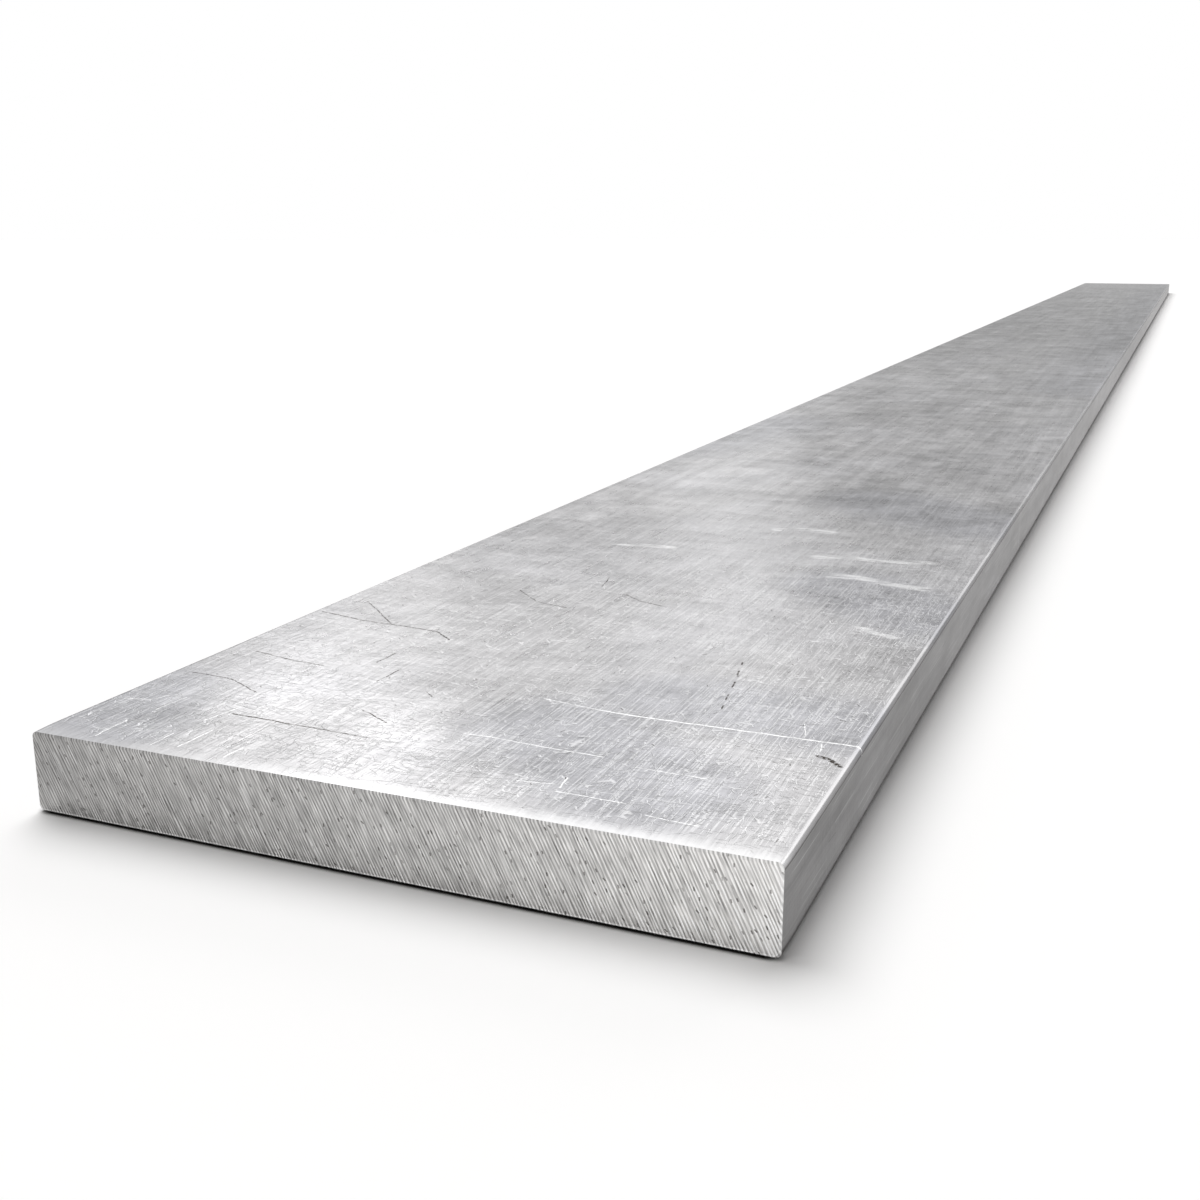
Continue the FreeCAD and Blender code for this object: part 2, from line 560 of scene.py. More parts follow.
def strokes(add, place, cell_mm, length_mm, width_mm, share, seed, turn=0, spread=360, bend=0.0):
    """A mask of short scratches, at most one in each random cell of about cell_mm.

    Turn is their middle direction, in degrees from X, and spread the range round it. A share of the
    cells has one, each of another strength. Bend is how far a scratch may curve, per mm squared.
    """
    cells = shifted_cells(add, place, (*cell_mm, 1), seed)
    cell = add("TexVoronoi", {"Vector": cells, "Scale": 1.0}, voronoi_dimensions="2D")
    red, green, blue = add("SeparateColor", {"Color": cell.outputs["Color"]}).outputs
    least, most = (math.radians(side * spread / 2 - turn) for side in (-1, 1))
    angle = add("MapRange", ramp(red, 0.0, 1.0, least, most), clamp=False)
    offset = add("VectorMath", {0: cells, 1: cell.outputs["Position"]}, operation="SUBTRACT")
    offset = add("VectorMath", {0: offset, 1: (*cell_mm, 0)}, operation="MULTIPLY")
    offset = add("VectorRotate", {"Vector": offset, "Angle": angle}, rotation_type="Z_AXIS")
    from_middle, from_line, _ = add("SeparateXYZ", {"Vector": offset}).outputs
    along = add("Math", {0: from_middle}, operation="ABSOLUTE")
    curve = add("Math", {0: blue, 1: 2 * bend, 2: -bend}, operation="MULTIPLY_ADD")
    square = product(add, along, along)
    aside = add("Math", {0: square, 1: curve, 2: from_line}, operation="MULTIPLY_ADD")
    aside = add("Math", {0: aside}, operation="ABSOLUTE")
    line = add("MapRange", ramp(aside, width_mm, 0.0), **SMOOTHLY)
    middle = add("MapRange", ramp(along, 0.5 * length_mm, 0.3 * length_mm), **SMOOTHLY)
    strength = add("MapRange", ramp(green, share, 0.0), **SMOOTHLY)
    return product(add, line, middle, strength)


def curly_lines(add, place, size_mm, width, share, seed):
    """A mask of curly hairlines: where soft noise of size_mm passes its middle value.

    Width is in the noise's own units, in which it changes by about 1 over its size. A second noise
    breaks the lines up, and keeps about a share of them.
    """
    level = grain(add, place, size_mm, seed=seed, detail=1.0, distortion=0.6)
    aside = add("Math", {0: level, 1: 0.5}, operation="SUBTRACT")
    aside = add("Math", {0: aside}, operation="ABSOLUTE")
    line = add("MapRange", ramp(aside, width, 0.0), **SMOOTHLY)
    chance = grain(add, place, [0.6 * size for size in size_mm], seed=seed + 0.5, detail=1.0)
    kept = add("MapRange", ramp(chance, 0.62 - 0.24 * share, 0.7 - 0.24 * share), **SMOOTHLY)
    return product(add, line, kept)


def scored_line(add, place_mm, points, width_mm):
    """A mask of a scratch through the points, x and y in mm: 1 on it, 0 at width_mm from it.

    For each stretch, the share of the way along it is the dot product with the stretch over its
    length squared, kept from 0 to 1, and the mask falls with the distance from that point.
    """
    masks = []
    for start, end in zip(points, points[1:]):
        run = (end[0] - start[0], end[1] - start[1], 0)
        from_start = add("VectorMath", {0: place_mm, 1: (*start, 0)}, operation="SUBTRACT")
        dot = add("VectorMath", {0: from_start, 1: run}, operation="DOT_PRODUCT").outputs["Value"]
        squared = run[0] ** 2 + run[1] ** 2
        share = add("Clamp", {"Value": add("Math", {0: dot, 1: squared}, operation="DIVIDE")})
        nearest = add("VectorMath", {0: run, "Scale": share}, operation="SCALE")
        aside = add("VectorMath", {0: from_start, 1: nearest}, operation="DISTANCE").outputs["Value"]
        masks.append(add("MapRange", ramp(aside, width_mm, 0.3 * width_mm), **SMOOTHLY))
    return strongest(add, *masks)


# Marks that were made one by one, on the top face near the near cut. Each has its half width and then
# its points, all in mm, with x from the middle of the bar and y from the cut.
BRIGHT_SCRATCHES_MM = (
    (0.20, (13, 32.2), (17.1, 31.9), (44.9, 32.1)),
    (0.10, (5.4, 33.4), (13, 32.2)),
    (0.09, (5.4, 36.8), (10.5, 36.1)),
    (0.11, (1.8, 18.7), (5, 18.9), (9.3, 18.5), (19.3, 18.1)),
    (0.07, (23.6, 16.7), (32.1, 16.5)),
    (0.09, (18.6, 7.3), (26.4, 7.1)),
    (0.07, (29.3, 5.2), (35, 4.7)),
    (0.10, (13.6, 8.3), (17.9, 9)),
    (0.14, (18.2, 11), (18.6, 8.3)),
    (0.12, (40.6, 31.2), (40.9, 29.2)),
    (0.08, (37.1, 37.1), (38.2, 33.3)),
    (0.15, (-37.1, 7.1), (-36.9, 1.8)),
    (0.10, (-36.1, 16.7), (-36.6, 11.7)),
    (0.11, (-27.5, 16.7), (-28.7, 10.8)),
    (0.10, (-29.1, 5.8), (-29.1, 1.8)),
    (0.11, (-25.6, 8.3), (-25.9, 2.5)),
    (0.09, (-18.9, 5), (-19.1, 2)),
    (0.10, (-42.9, 13.5), (-39.6, 14.3), (-38.6, 16.3)),
)
SOFT_SCUFFS_MM = (
    (2, (16.8, 122.4), (22, 124.8), (28, 123.2), (36.2, 125.6)),
    (2.2, (22.9, 109.7), (27, 110.4), (31.2, 108), (38.5, 106.6)),
    (2, (4.1, 142.7), (9, 144.8), (14, 144)),
    (1.4, (-20.2, 117.5), (-15, 119.6), (-9.4, 120)),
    (1.2, (33.5, 81), (36.5, 78.4), (39.5, 77)),
)
GRIMY_CRACKS_MM = (
    (0.46, (41.1, 27.5), (42.3, 27), (44.1, 25.4)),
    (0.18, (-27.1, 14), (-15, 13.5), (-7.9, 13.3)),
    (0.14, (-42.1, 25.3), (-35.7, 25), (-29.3, 21.7)),
    (0.14, (-40.4, 36.4), (-32.9, 34.8), (-27.9, 34.4)),
    (0.18, (-43.3, 57.4), (-34.9, 55.5), (-26.1, 55), (-21.7, 54.4), (-18.3, 51.6)),
    (0.14, (-40.3, 65.2), (-36.6, 61.8), (-30, 55.3)),
    (0.14, (-13.6, 21.3), (-8.2, 18.3)),
    (0.14, (-9.6, 30), (-8.2, 28.8)),
    (0.14, (-21.8, 42.9), (-22, 38.3)),
    (0.14, (-17.5, 37.1), (-17.7, 31.3)),
    (0.18, (23.2, 57.3), (23.4, 56.4)),
    (0.18, (23.9, 53.6), (24.4, 51.2)),
    (0.18, (24.8, 49), (25.2, 46.6)),
    (0.17, (25.6, 43.8), (25.9, 41.8)),
    (0.15, (26.3, 39.6), (26.5, 38.2)),
    (0.16, (-4.4, 84.6), (-1, 81.8), (4, 80.1)),
    (0.12, (-10.1, 88.2), (-11.3, 94)),
    (0.12, (-21.5, 80.9), (-15.7, 75.2), (-10, 73.8)),
)
# Patches that rubbing has covered with curly hairlines, ones of thicker and duller oxide, and ones
# that have been wiped bright, which close to the cut on the left also paint in a highlight.
SCUFFED_PATCHES_MM = (
    (26, (12, 20), (34, 16)),
    (14, (-41, 12), (-32, 8)),
    (26, (36, 34), (40, 84)),
    (22, (-16, 60), (8, 96)),
)
DULL_PATCHES_MM = (
    (17, (12, 24), (27, 12)),
    (14, (-44, 18), (-38, 6)),
    (17, (27, 104), (44, 88)),
    (14, (20, 40), (43, 38)),
    (21, (18, 178), (40, 162)),
    (50, (54, 430), (54, 1600)),
    (40, (-60, 240), (-50, 290)),
)
WIPED_AND_HIGHLIT_PATCHES_MM = (
    (30, (-38, 98), (-16, 62)),
    (24, (-50, 180), (-42, 150)),
    (16, (-28, 46), (-24, 24)),
    (10, (-8, 22), (-3, 6)),
)


def mark_masks(add, place, *lists):
    """A mask for each list of marks. They wander a little, and lie only on the top face."""
    wander = grain(add, place, (1.5, 1.5, 1.5), seed=9, detail=2)
    wander = add("VectorMath", {0: wander.outputs["Color"], 1: (0.5, 0.5, 0.5)}, operation="SUBTRACT")
    wander = add("VectorMath", {0: wander, 1: (0.4, 0.4, 0)}, operation="MULTIPLY")
    # Places in mm, flattened along Z and measured from the near cut.
    from_cut = {"Location": (0, BAR_LENGTH / 2 / MM, 0), "Scale": (1 / MM, 1 / MM, 0)}
    flat_mm = add("Mapping", {"Vector": place, **from_cut})
    flat_mm = add("VectorMath", {0: flat_mm, 1: wander}, operation="ADD")
    height = add("SeparateXYZ", {"Vector": place}).outputs["Z"]
    on_top = add("Math", {0: height, 1: 0.9 * BAR_THICKNESS}, operation="GREATER_THAN")
    masks = []
    for marks in lists:
        lines = [scored_line(add, flat_mm, points, width) for width, *points in marks]
        masks.append(product(add, strongest(add, *lines), on_top))
    return masks


def marked(add, colour, light, dark, settings):
    """A colour turned to the scratch colour where light is 1, for scratches and painted highlights, and
    then to the grime colour where dark is 1, for grime and painted shade.
    """
    for factor, mark in ((light, settings.scratch_and_highlight_colour), (dark, settings.grime_and_shade_colour)):
        colour = add("Mix", {"Factor": factor, "A": colour, "B": (*mark, 1)}, data_type="RGBA")
    return colour


def metal_surface(add, height_mm, look):
    """The metal's shader, with relief of height_mm and the other inputs in look, on the output."""
    bump = add("Bump", {"Height": height_mm, "Distance": MM})
    shader = add("BsdfPrincipled", {"Metallic": 1.0, "Normal": bump, **look})
    add("OutputMaterial", {"Surface": shader})


def extruded_mill_aluminium(settings):
    """Extruded aluminium in its mill finish, a flat that has been handled and stored.

    The die's bearing leaves fine lines all along the bar, which the eye sees as silky streaks. The
    grey oxide is uneven, so reflections look cloudy. Handling adds curly hairlines, lengthwise and
    crosswise scuffs, and pits and cracks that hold grime. Towards a saw cut the metal is fresher, and
    a highlight is painted along the cut. Shade is painted in too: the colour darkens far along the
    bar and in the grooves beside the corners, and the narrow faces are painted darker near the near
    end and lighter low down.
    """
    material = bpy.data.materials.new("extruded_mill_aluminium")
    add = empty_tree(material)
    place = add("TexCoord").outputs["Object"]
    x, y, z = add("SeparateXYZ", {"Vector": place}).outputs
    # Over the corners, x plus z runs on along the surface, so scratches lie right on every face.
    skin = add("CombineXYZ", {"X": add("Math", {0: x, 1: z}, operation="ADD"), "Y": y})

    # The narrow faces were not handled, so the worn layers lie on the wide ones alone.
    off_middle = add("Math", {0: z, 1: BAR_THICKNESS / 2}, operation="SUBTRACT")
    off_middle = add("Math", {0: off_middle}, operation="ABSOLUTE")
    edge_band = (0.38 * BAR_THICKNESS, 0.48 * BAR_THICKNESS)
    wide_face = add("MapRange", ramp(off_middle, *edge_band), **SMOOTHLY)
    narrow = add("Math", {0: 1.0, 1: wide_face}, operation="SUBTRACT")
    corner = add("Attribute", attribute_name="corner").outputs["Fac"]
    smoothed = add("Math", {0: 1.0, 1: corner}, operation="SUBTRACT")

    # Die lines are 0.05 to 0.3 mm wide. The finest are drawn from 0.2 mm, which is as fine as can show.
    fine_lines = grain(add, place, (0.42, 60, 0.42), seed=1, detail=2, roughness=0.7)
    broad_lines = grain(add, place, (2.6, 100, 2.6), seed=2, detail=3, roughness=0.6)
    ticks = grain(add, place, (0.42, 6, 0.42), seed=8, detail=2, roughness=0.6, distortion=0.3)
    threads = grain(add, place, (0.22, 12, 0.22), seed=10, detail=0)
    cross_grain = grain(add, place, (9, 1.6, 9), seed=4, detail=3, roughness=0.6, distortion=0.3)
    fuzz = grain(add, place, (0.9, 1.3, 0.9), seed=5, detail=2, roughness=0.6)
    grit = grain(add, place, (0.5, 0.5, 0.5), seed=22, detail=1)
    cross_bands = grain(add, place, (18, 7, 18), seed=11, detail=3, roughness=0.6, distortion=0.3)
    blotches = grain(add, place, (6, 6, 6), seed=6, detail=5, roughness=0.6, distortion=0.5)
    clouds = grain(add, place, (30, 45, 30), seed=3, detail=3, roughness=0.55, distortion=0.4)
    mid_bands = grain(add, place, (14, 16, 14), seed=20, detail=4, roughness=0.75)
    far_bands = grain(add, place, (40, 90, 40), seed=7, detail=6, roughness=0.85)
    smudges = grain(add, place, (3.5, 14, 3.5), seed=19, detail=4, roughness=0.6)

    singles = (BRIGHT_SCRATCHES_MM, GRIMY_CRACKS_MM, SOFT_SCUFFS_MM)
    scratches, cracks, soft_scuffs = mark_masks(add, place, *singles)
    patches = (SCUFFED_PATCHES_MM, DULL_PATCHES_MM, WIPED_AND_HIGHLIT_PATCHES_MM)
    scuffed, dull, wiped_and_highlit = mark_masks(add, place, *patches)
    # The cracks are rows of torn pits.
    cracks = product(add, cracks, add("MapRange", ramp(grit, 0.42, 0.52, 0.35, 1.0), **SMOOTHLY))
    # The scratches were made by rough edges, so they are stronger and weaker along the way.
    rough = add("MapRange", ramp(fuzz, 0.36, 0.52, 0.8, 1.0), **SMOOTHLY)
    scratches = product(add, scratches, rough)
    broken = add("MapRange", ramp(cross_grain, 0.38, 0.56), **SMOOTHLY)
    soft_scuffs = product(add, soft_scuffs, broken)

    # Bright metal near a cut, where the saw and the file have rubbed off the oxide and its marks, and a
    # painted highlight along the cut.
    half_length = BAR_LENGTH / 2
    near_cut = -half_length
    from_middle = add("Math", {0: y}, operation="ABSOLUTE")
    ragged = weigh(add, 0.0, (fine_lines, 2 * MM), (blotches, 3 * MM))
    to_cut = add("Math", {0: from_middle, 1: ragged}, operation="ADD")
    rubbed_and_highlit = add("MapRange", ramp(to_cut, half_length - 5 * MM, half_length), **SMOOTHLY)
    rubbed_and_highlit = product(add, rubbed_and_highlit, wide_face)
    # The painted highlight is stronger on the right.
    highlight_to_right = add("MapRange", ramp(x, -30 * MM, 5 * MM, 0.45, 1.0), **SMOOTHLY)
    unrubbed = add("Math", {0: rubbed_and_highlit, 1: -0.9, 2: 1.0}, operation="MULTIPLY_ADD")
    worn = product(add, wide_face, smoothed, unrubbed)
    # Hands and other bars have marked the ends more than the middle.
    end_parts = (half_length - 240 * MM, half_length - 90 * MM)
    ends = add("MapRange", ramp(from_middle, *end_parts, 0.25, 1.0), **SMOOTHLY)
    handled = product(add, ends, worn)
    away = add("Math", {0: ends, 1: -0.8, 2: 1.0}, operation="MULTIPLY_ADD")
    rubbing = add("MapRange", ramp(scuffed, 0.0, 1.0, 0.55, 0.8))
    rubbing = product(add, rubbing, handled)
    curls = strongest(
        add,
        curly_lines(add, place, (2.4, 3.6, 2.4), 0.02, 0.8, seed=21),
        curly_lines(add, place, (4.0, 1.6, 4.0), 0.025, 0.8, seed=23),
        strokes(add, skin, (0.8, 2.2), 2.0, 0.10, 0.95, seed=11, turn=90, spread=40, bend=0.3),
        strokes(add, skin, (1.3, 5.5), 5.0, 0.11, 0.9, seed=17, turn=86, spread=22, bend=0.03),
        strokes(add, skin, (4.0, 1.1), 3.8, 0.08, 0.9, seed=12, turn=0, spread=30, bend=0.03),
    )
    curls = product(add, curls, rubbing)
    lines = add("MapRange", ramp(threads, 0.56, 0.66), **SMOOTHLY)
    long_scuffs = strokes(add, skin, (1.1, 14), 12, 0.09, 0.7, seed=13, turn=90, spread=3)
    cross_scuffs = strokes(add, skin, (22, 7), 16, 0.16, 0.3, seed=14, turn=0, spread=14)
    broad_scuffs = strokes(add, skin, (36, 20), 30, 1.1, 0.6, seed=18, turn=0, spread=8)
    pits = strokes(add, skin, (2.6, 3.2), 0.9, 0.12, 0.4, seed=15)
    nicks = strokes(add, skin, (7, 14), 4, 0.08, 0.2, seed=16, turn=90, spread=30)
    light = strongest(
        add,
        scratches,
        product(add, curls, 0.45),
        product(add, lines, rubbing, 0.35),
        product(add, long_scuffs, 0.3),
        product(add, cross_scuffs, 0.25),
        product(add, broad_scuffs, away, 0.3),
        product(add, soft_scuffs, 0.6),
        # The band along the near cut is a painted highlight, stronger on the right.
        product(add, rubbed_and_highlit, rubbed_and_highlit, highlight_to_right, 0.4),
    )
    # Painted shade darkens the grooves beside the corners.
    groove_place = BAR_THICKNESS / 2 - settings.corner_radius - GROOVE_WIDTH / 3
    groove = add("Math", {0: off_middle, 1: groove_place}, operation="SUBTRACT")
    groove = add("Math", {0: groove}, operation="ABSOLUTE")
    groove = add("MapRange", ramp(groove, 0.6 * GROOVE_WIDTH, 0.2 * GROOVE_WIDTH), **SMOOTHLY)
    pits = product(add, pits, handled, 0.8)
    dark = strongest(add, cracks, pits, product(add, nicks, 0.5), product(add, groove, 0.5))

    # The middle was rubbed by other bars, lengthwise and crosswise.
    streaks = weigh(add, 0.0, (broad_lines, 0.9), (mid_bands, 1.5), (far_bands, 1.1))
    streaks = product(add, streaks, away, wide_face)
    layers = ((ticks, 0.4), (fuzz, 0.25), (blotches, 0.4), (cross_grain, 0.3), (cross_bands, 0.5))
    mottle = product(add, weigh(add, 0.0, *layers), worn)
    # Painted shade: the colour is darker from 0.4 m past the near cut, and darkest from 0.8 m on.
    far_painted_shade = add("MapRange", ramp(y, near_cut + 0.4, near_cut + 0.8, 0.97, 0.65), **SMOOTHLY)
    tone = weigh(add, 0.0, (fine_lines, 0.35), (clouds, 0.25))
    for layer in (streaks, mottle, far_painted_shade):
        tone = add("Math", {0: tone, 1: layer}, operation="ADD")
    # On the narrow faces, random smudges, and painted shade and light: darker towards the near end,
    # lighter low down, and a little lighter from 30 to 110 mm past the near cut.
    side_smudges_and_light = weigh(add, 0.0, (smudges, 0.4))
    for layer in (
        add("MapRange", ramp(y, near_cut, near_cut + 1.0, -0.24, 0.48)),
        add("MapRange", ramp(z, 0.5 * BAR_THICKNESS, 0.0, 0.0, 0.18)),
        add("MapRange", ramp(y, near_cut + 0.03, near_cut + 0.11, 0.0, 0.1), **SMOOTHLY),
    ):
        side_smudges_and_light = add("Math", {0: side_smudges_and_light, 1: layer}, operation="ADD")
    # Dull patches are darker. Wiped ones are lighter, and near the cut they paint in a highlight.
    for mask, change in ((dull, -0.12), (wiped_and_highlit, 0.14), (narrow, side_smudges_and_light)):
        tone = add("Math", {0: mask, 1: change, 2: tone}, operation="MULTIPLY_ADD")
    oxidised = add("MapRange", ramp(clouds, 0.42, 0.62), **SMOOTHLY)
    oxidised = strongest(add, product(add, oxidised, 0.2), product(add, dull, 0.8))
    finishes = {"A": (*settings.mill_colour, 1), "B": (*settings.oxide_colour, 1)}
    colour = add("Mix", {"Factor": oxidised, **finishes}, data_type="RGBA")
    # The narrow faces have little oxide, so they are nearly as warm a grey as the cuts.
    bare = {"Factor": product(add, narrow, 0.5), "B": (*settings.sawn_colour, 1)}
    colour = add("Mix", {"A": colour, **bare}, data_type="RGBA")
    colour = add("VectorMath", {0: colour, "Scale": tone}, operation="SCALE")
    colour = marked(add, colour, light, dark, settings)

    roughness = weigh(add, 0.31, (blotches, 0.2), (fuzz, 0.1), (fine_lines, 0.1))
    roughness = add("Math", {0: narrow, 1: 0.3, 2: roughness}, operation="MULTIPLY_ADD")
    # The die burnishes the corners.
    roughness = add("Mix", {"Factor": corner, "A": roughness, "B": 0.22}, data_type="FLOAT")
    layers = ((fine_lines, 0.02), (ticks, 0.02), (blotches, 0.06), (fuzz, 0.02), (cross_grain, 0.03))
    relief = weigh(add, 0.0, *layers)
    relief = add("Math", {0: curls, 1: -0.04, 2: relief}, operation="MULTIPLY_ADD")
    relief = product(add, relief, smoothed, ends)
    # Oxide and fine scratches keep the metal from brightening at a low angle.
    low_gloss = {"Specular Tint": (*linear_colour("B8B8B8"), 1)}
    metal_surface(add, relief, {"Base Color": colour, "Roughness": roughness, **low_gloss})
    return material


def saw_cut_aluminium(settings):
    """Aluminium as the saw's teeth left it.

    Bright ridges and dull grooves run side by side down the face, about 0.4 mm apart, which the eye
    sees as a hatched, slightly warm grey. Torn pits lie between them. The rims carry a painted
    highlight at the bottom and on the right, and are darker at the top and on the left. The colour is
    painted lighter towards the right and towards the bottom, as painted light, and it darkens towards
    the left edge.
    """
    material = bpy.data.materials.new("saw_cut_aluminium")
    add = empty_tree(material)
    marks = add("Attribute", attribute_name="saw_mark").outputs["Fac"]
    rim_highlight_and_dark = add("Attribute", attribute_name="rim_highlight_and_dark").outputs["Fac"]
    x, _, z = add("SeparateXYZ", {"Vector": add("TexCoord").outputs["Object"]}).outputs
    cut = add("CombineXYZ", {"X": x, "Y": z})
    # Turned so that X runs across the marks and Y along them.
    turn = math.radians(SAW_LEAN - 90)
    hatched = add("VectorRotate", {"Vector": cut, "Angle": turn}, rotation_type="Z_AXIS")
    # A Wave Texture's bands are pi / 10 apart.
    pitch = tuple(size * MM * 10 / math.pi for size in (RIDGE_PITCH_MM, 5.0, 1.0))
    bands = add("Mapping", {"Vector": hatched, "Scale": pitch}, vector_type="TEXTURE")
    wander = {"Distortion": 6.5, "Detail": 1.0, "Detail Scale": 0.5}
    ridges = add("TexWave", {"Vector": bands, "Scale": 1.0, **wander}).outputs["Fac"]
    ridges = product(add, ridges, grain(add, hatched, (0.8, 2.5, 1), seed=8, detail=1))
    hairs = grain(add, hatched, (0.16, 3.0, 1), seed=7, detail=1, roughness=0.7)
    clouds = grain(add, hatched, (3.0, 5.0, 1), seed=2, detail=4, roughness=0.6)
    pits = strokes(add, hatched, (0.8, 1.1), 0.5, 0.14, 0.5, seed=4, turn=90, spread=50)
    tears = strokes(add, hatched, (1.6, 6.0), 4.5, 0.08, 0.5, seed=5, turn=90, spread=4, bend=0.01)
    gleams = strokes(add, hatched, (1.1, 4.0), 3.2, 0.10, 0.7, seed=6, turn=90, spread=4, bend=0.01)

    # Painted light: the cut is painted lighter towards the right, and towards the bottom.
    share_across = add("MapRange", ramp(x, -BAR_WIDTH / 2, BAR_WIDTH / 2))
    squared = product(add, share_across, share_across)
    painted_light_low = add("MapRange", ramp(z, 0.0, BAR_THICKNESS / 2, 1.22, 1.02))
    painted_light = add("Math", {0: squared, 1: 0.84, 2: painted_light_low}, operation="MULTIPLY_ADD")
    # The colour also darkens towards the left edge.
    left_edge_darkening = add("MapRange", ramp(share_across, 0.0, 0.16, 0.8, 1.0), **SMOOTHLY)
    tone = weigh(add, 1.21, (marks, 0.25), (ridges, 1.25), (hairs, 1.2), (clouds, 0.15))
    tone = product(add, tone, painted_light, left_edge_darkening)
    colour = add("VectorMath", {0: tuple(settings.sawn_colour), "Scale": tone}, operation="SCALE")
    # The rim mask paints a highlight where it is 1. Where it is -1, it darkens the colour below.
    light = strongest(add, product(add, gleams, 0.5), product(add, rim_highlight_and_dark, 0.4))
    torn = (product(add, pits, 0.8), product(add, tears, 0.6))
    dark = strongest(add, *torn, product(add, rim_highlight_and_dark, -0.1))
    colour = marked(add, colour, light, dark, settings)
    relief = weigh(add, 0.0, (ridges, 0.05), (hairs, 0.03))
    relief = add("Math", {0: dark, 1: -0.05, 2: relief}, operation="MULTIPLY_ADD")
    roughness = weigh(add, 0.48, (ridges, 0.2), (clouds, 0.1))
    metal_surface(add, relief, {"Base Color": colour, "Roughness": roughness})
    return material


class MESH_OT_flat_bar(bpy.types.Operator):
    """Add the flat bar, with its mill finish and its sawn ends"""

    bl_idname = "mesh.flat_bar_add"
    bl_label = "Add Flat Bar"
    bl_options = {"REGISTER", "UNDO"}

    def execute(self, context):
        settings = context.scene.flat_bar
        points, quads, fives, sawn_count, shares = bar_surface(settings)
        corners = np.concatenate([quads.ravel(), fives.ravel()])
        counts = np.repeat([4, 5], [len(quads), len(fives)])
        mesh = mesh_from_arrays("flat_bar_stock", points, corners, counts)
        for name, values in shares.items():
            attribute = mesh.attributes.new(name, "FLOAT", "POINT")
            attribute.data.foreach_set("value", values.astype(np.float32))
        places = unwrapped(points, corners, counts, sawn_count)
        bake_map = mesh.uv_layers.new(name="OFBake")
        bake_map.uv.foreach_set("vector", places.astype(np.float32).ravel())
        mesh.materials.append(extruded_mill_aluminium(settings))
        mesh.materials.append(saw_cut_aluminium(settings))
        finish = np.zeros(len(mesh.polygons), np.int32)
        finish[:sawn_count] = 1
        mesh.polygons.foreach_set("material_index", finish)
        mesh.polygons.foreach_set("use_smooth", np.ones(len(mesh.polygons), bool))
        mesh.set_sharp_from_angle(angle=math.radians(SHARP_ANGLE))
        bar = new_object("flat_bar_stock", mesh)
        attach(bar, BODY)
        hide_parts(NODE)
        return {"FINISHED"}


# ---- studio ----

# Softboxes that only shape the reflections: name, azimuth, elevation, spread and radiance.
SOFTBOXES = (
    ("wide_softbox", -25, 33, (50, 30), 1.0),
    ("key_strip", -35, 21, (10, 12), 2.6),
    ("side_strip", -17.5, 14, (6, 20), 1.4),
    ("corner_softbox", 13, 20, (28, 22), 1.7),
)
SOFTBOX_DISTANCE = 20.0


def direction(azimuth, elevation):
    """The unit vector towards an azimuth, from +Y towards +X, and an elevation, in degrees."""
    turn, rise = math.radians(azimuth), math.radians(elevation)
    level = math.cos(rise)
    return Vector((math.sin(turn) * level, math.cos(turn) * level, math.sin(rise)))


def add_lamp(name, lamp, away, distance=0.0):
    """Put a lamp at a distance from the near end, facing it, hidden from the camera."""
    lamp_object = new_object(name, lamp)
    lamp_object.location = Vector((0, BAR_LOW[1], BAR_THICKNESS)) + away * distance
    lamp_object.rotation_euler = away.to_track_quat("Z", "Y").to_euler()
    lamp_object.visible_camera = False
    return lamp_object


def softbox(name, azimuth, elevation, spread, radiance):
    """A far softbox, whose spread is how many degrees wide and high it looks from the near end.

    A mirror shows radiance 1 as white. The power is radiance times pi times the ellipse's area.
    """
    lamp = bpy.data.lights.new(name, "AREA")
    lamp.shape = "ELLIPSE"
    lamp.size, lamp.size_y = (2 * SOFTBOX_DISTANCE * math.tan(math.radians(s) / 2) for s in spread)
    lamp.energy = radiance * math.pi * math.pi / 4 * lamp.size * lamp.size_y
    add_lamp(name, lamp, direction(azimuth, elevation), SOFTBOX_DISTANCE)


def overhead_light(azimuth, elevation, spread, share):
    """The broad light that casts the bar's shadow: a sun spread degrees across, with no gloss.

    Share is the part of a level white sheet's brightness that it gives, so its strength is pi times
    share over the sine of its elevation.
    """
    lamp = bpy.data.lights.new("overhead_light", "SUN")
    lamp.angle = math.radians(spread)
    lamp.energy = math.pi * share / math.sin(math.radians(elevation))
    add_lamp("overhead_light", lamp, direction(azimuth, elevation)).visible_glossy = False


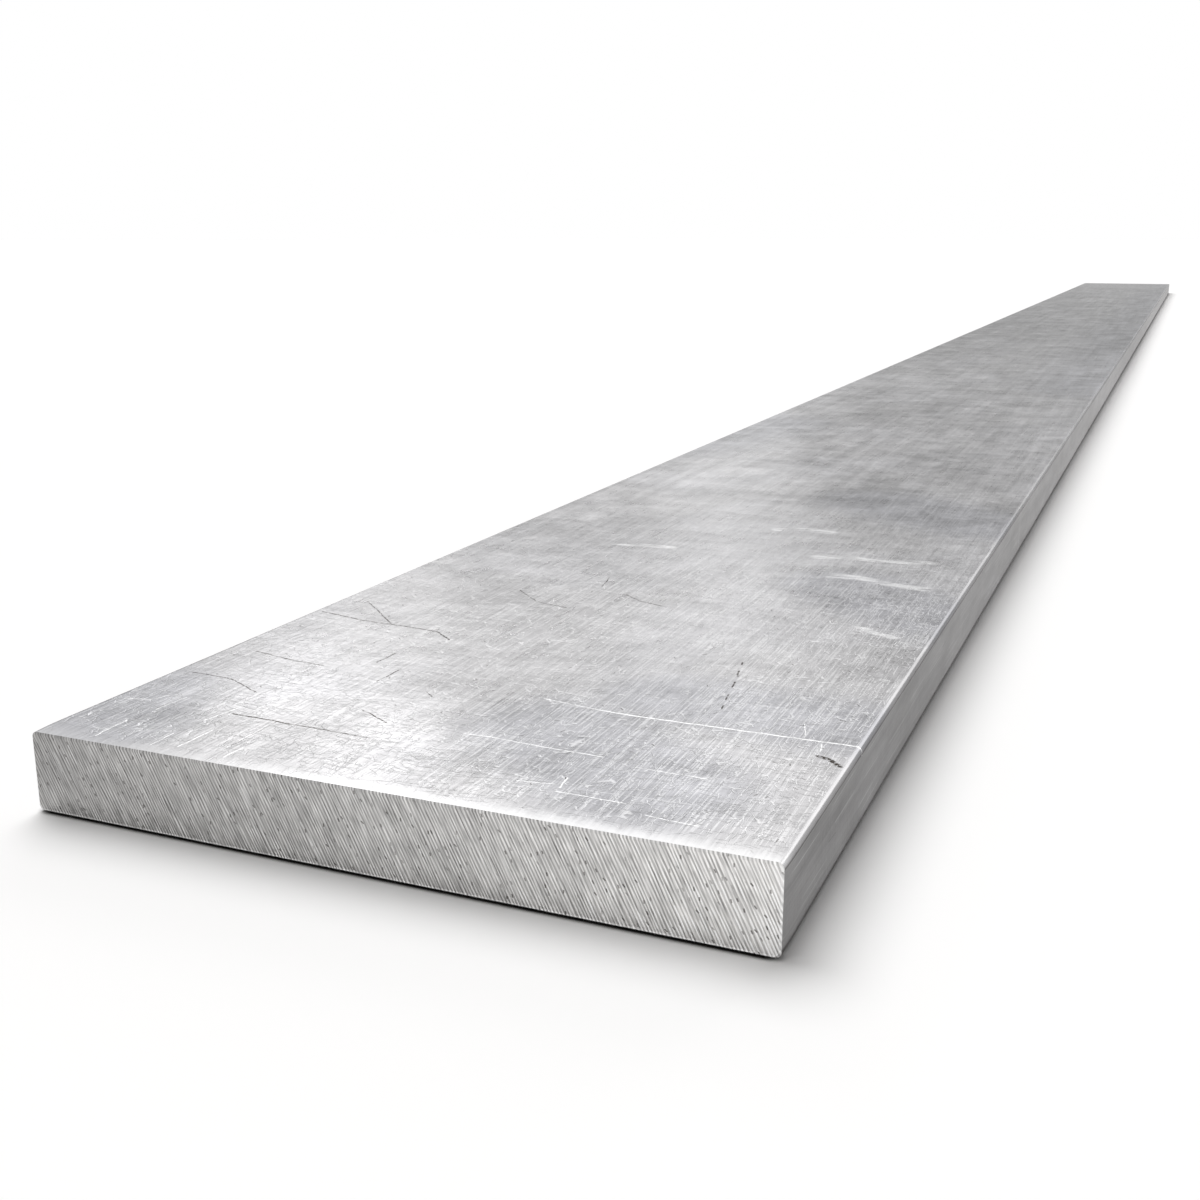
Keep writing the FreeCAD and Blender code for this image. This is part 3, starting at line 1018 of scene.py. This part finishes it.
def studio_floor(settings):
    """A round sheet of matt paper that takes the shadow, with a painted contact shadow that darkens it
    close to what stands on it.
    """
    angle = np.linspace(0, 2 * math.pi, FLOOR_SIDES, endpoint=False)
    edge = settings.floor_radius * np.stack([np.cos(angle), np.sin(angle), 0 * angle], 1)
    mesh = bpy.data.meshes.new("studio_floor")
    mesh.from_pydata(edge, [], [list(range(len(edge)))])
    material = bpy.data.materials.new("matt_paper")
    add = empty_tree(material)
    # A painted contact shadow: the paper's colour darkens where ambient occlusion finds the bar close.
    # The sawn ends stand clear of the paper by their bevel, so the painted shadow is narrow and dark
    # there, and wider and paler along the sides.
    x, y, _ = add("SeparateXYZ", {"Vector": add("TexCoord").outputs["Object"]}).outputs
    along = add("Math", {0: y}, operation="ABSOLUTE")
    aside = add("Math", {0: x}, operation="ABSOLUTE")
    last_part = (BAR_LENGTH / 2 - 2 * MM, BAR_LENGTH / 2 - 0.5 * MM)
    at_end = add("MapRange", ramp(along, *last_part, 0.6, 1.0), **SMOOTHLY)
    reach = add("Math", {0: at_end, 1: 2.0}, operation="POWER")
    reach = add("Math", {0: settings.contact_shadow_reach, 1: reach}, operation="DIVIDE")
    openness = add("AmbientOcclusion", {"Distance": reach}).outputs["AO"]
    open_floor = add("MapRange", ramp(openness, 0.45, 0.95), **SMOOTHLY)
    shade = add("Math", {0: 1.0, 1: open_floor}, operation="SUBTRACT")
    # It fades out under the rounded corners.
    under_corner = (BAR_WIDTH / 2 - 0.2 * MM, BAR_WIDTH / 2 - 1.8 * MM)
    under = add("MapRange", ramp(aside, *under_corner, 0.4, 1.0), **SMOOTHLY)
    paper = {"A": (*settings.floor_colour, 1), "B": (*settings.contact_shadow_colour, 1)}
    colour = add("Mix", {"Factor": product(add, shade, under, at_end), **paper}, data_type="RGBA")
    add("OutputMaterial", {"Surface": add("BsdfDiffuse", {"Color": colour})})
    mesh.materials.append(material)
    floor = new_object("studio_floor", mesh)


def studio_world(settings):
    """White to the camera and in gloss and glass, and an even fill light to everything else."""
    world = bpy.data.worlds.new("studio")
    add = empty_tree(world)
    ray = add("LightPath")
    kinds = [ray.outputs[f"Is {kind} Ray"] for kind in ("Camera", "Glossy", "Transmission")]
    white = strongest(add, *kinds)
    strength = add("MapRange", ramp(white, 0.0, 1.0, settings.fill_strength, 1.0))
    colours = {"A": (*settings.fill_colour, 1), "B": (1, 1, 1, 1)}
    colour = add("Mix", {"Factor": white, **colours}, data_type="RGBA")
    add("OutputWorld", {"Surface": add("Background", {"Color": colour, "Strength": strength})})
    bpy.context.scene.world = world


def studio_camera(settings):
    """A level camera close to the near end, looking down along the bar to the left."""
    data = bpy.data.cameras.new("camera")
    data.lens = settings.lens
    data.clip_start, data.clip_end = 0.01, 100.0
    camera = new_object("camera", data)
    camera.location = Vector((0, BAR_LOW[1], 0)) + BAR_WIDTH * Vector(CAMERA_PLACE)
    camera.rotation_euler = (math.radians(90 - CAMERA_DIP), 0, math.radians(CAMERA_TURN))
    bpy.context.scene.camera = camera


class SCENE_OT_flat_bar_studio(bpy.types.Operator):
    """Add the pale floor, the soft light and the camera"""

    bl_idname = "scene.flat_bar_studio_add"
    bl_label = "Add Studio"
    bl_options = {"REGISTER", "UNDO"}

    def execute(self, context):
        settings = context.scene.flat_bar_studio
        context.scene.view_settings.view_transform = "Standard"
        studio_camera(settings)
        studio_floor(settings)
        studio_world(settings)
        overhead_light(azimuth=-47, elevation=60, spread=50, share=0.70)
        for box in SOFTBOXES:
            softbox(*box)
        return {"FINISHED"}


class VIEW3D_PT_flat_bar(bpy.types.Panel):
    """The flat bar's tools and settings"""

    bl_idname = "VIEW3D_PT_flat_bar"
    bl_label = "Flat Bar"
    bl_space_type = "VIEW_3D"
    bl_region_type = "UI"
    bl_category = "Flat Bar"

    def draw(self, context):
        for group, operator in (
            (context.scene.flat_bar, MESH_OT_flat_bar),
            (context.scene.flat_bar_studio, SCENE_OT_flat_bar_studio),
        ):
            box = self.layout.box()
            for name in group.__annotations__:
                box.prop(group, name)
            box.operator(operator.bl_idname)


CLASSES = (
    FlatBarSettings,
    FlatBarStudioSettings,
    MESH_OT_flat_bar,
    SCENE_OT_flat_bar_studio,
    VIEW3D_PT_flat_bar,
)


def register():
    for cls in CLASSES:
        bpy.utils.register_class(cls)
    bpy.types.Scene.flat_bar = PointerProperty(type=FlatBarSettings)
    bpy.types.Scene.flat_bar_studio = PointerProperty(type=FlatBarStudioSettings)


def unregister():
    del bpy.types.Scene.flat_bar_studio
    del bpy.types.Scene.flat_bar
    for cls in reversed(CLASSES):
        bpy.utils.unregister_class(cls)


def main():
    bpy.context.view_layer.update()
    register()
    bpy.ops.mesh.flat_bar_add()
    bpy.ops.scene.flat_bar_studio_add()


if __name__ == "__main__":
    main()
